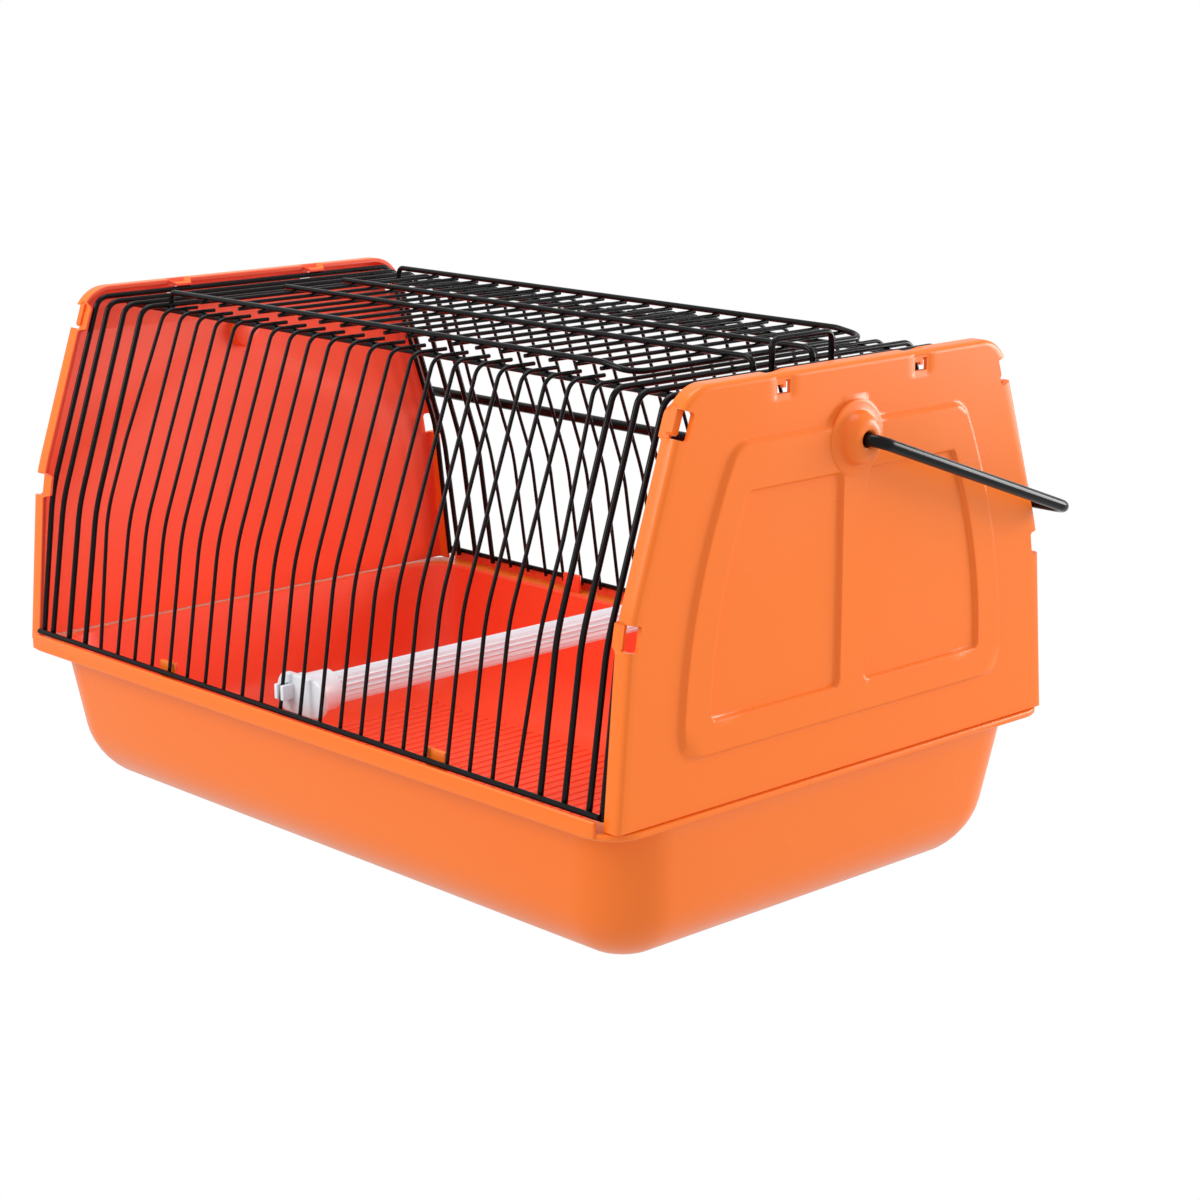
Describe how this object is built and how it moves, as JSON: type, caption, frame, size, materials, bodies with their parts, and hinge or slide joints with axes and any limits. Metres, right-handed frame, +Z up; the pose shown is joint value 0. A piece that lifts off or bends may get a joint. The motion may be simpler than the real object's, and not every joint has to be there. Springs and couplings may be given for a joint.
{
  "type": "small bird carrier",
  "caption": "Small animal carrier: plastic tray with a lift-off wire cage between plastic end panels, a hinged wire roof door with a latch bail, a perch and a folding wire carrying handle.",
  "frame": {"origin": "middle of the tray's underside, on the surface it stands on", "axes": "+X along the length towards the latch end, +Y to the back, where the handle is folded, +Z up"},
  "size_m": [0.3238, 0.1968, 0.1785],
  "materials": {
    "orange_plastic": "moulded, semi-gloss orange, a little see-through at thin edges",
    "black_wire": "gloss black coating on steel wire",
    "white_plastic": "moulded white"
  },
  "bodies": {
    "tray": {"base_tray": "orange_plastic"},
    "cage": {"end_panel_left": "orange_plastic", "end_panel_right": "orange_plastic", "frame_wire_left": "black_wire", "frame_wire_right": "black_wire", "left_hoop_outer": "black_wire", "left_hoop_inner": "black_wire", "hinge_hoop": "black_wire", "right_hoop_inner": "black_wire", "catch_hoop": "black_wire", "right_hoop_outer": "black_wire", "thin_hoop": "black_wire", "front_bars": "black_wire", "back_bars": "black_wire", "bottom_rod_front": "black_wire", "bottom_rod_back": "black_wire", "roof_rod_front": "black_wire", "roof_rod_back": "black_wire", "perch_tube": "white_plastic", "perch_cap_front": "white_plastic", "perch_cap_back": "white_plastic"},
    "handle": {"handle_bail": "black_wire"},
    "door": {"door_frame": "black_wire", "door_stay_front": "black_wire", "door_stay_back": "black_wire", "door_cross_wires": "black_wire"},
    "latch": {"latch_bail": "black_wire"}
  },
  "joints": [
    {"name": "cage_lift", "type": "slide", "parent": "tray", "child": "cage", "axis": [0, 0, 1], "range_m": [0, 0.22]},
    {"name": "handle_swing", "type": "hinge", "parent": "cage", "child": "handle", "pos_m": [0, 0, 0.15], "axis": [1, 0, 0], "range_deg": [0, 219.4]},
    {"name": "door_hinge", "type": "hinge", "parent": "cage", "child": "door", "pos_m": [-0.1167, 0, 0.1677], "axis": [0, -1, 0], "range_deg": [0, 142]},
    {"name": "latch_pivot", "type": "hinge", "parent": "cage", "child": "latch", "pos_m": [0.12685, 0, 0.1677], "axis": [0, -1, 0], "range_deg": [-62, 62]}
  ]
}
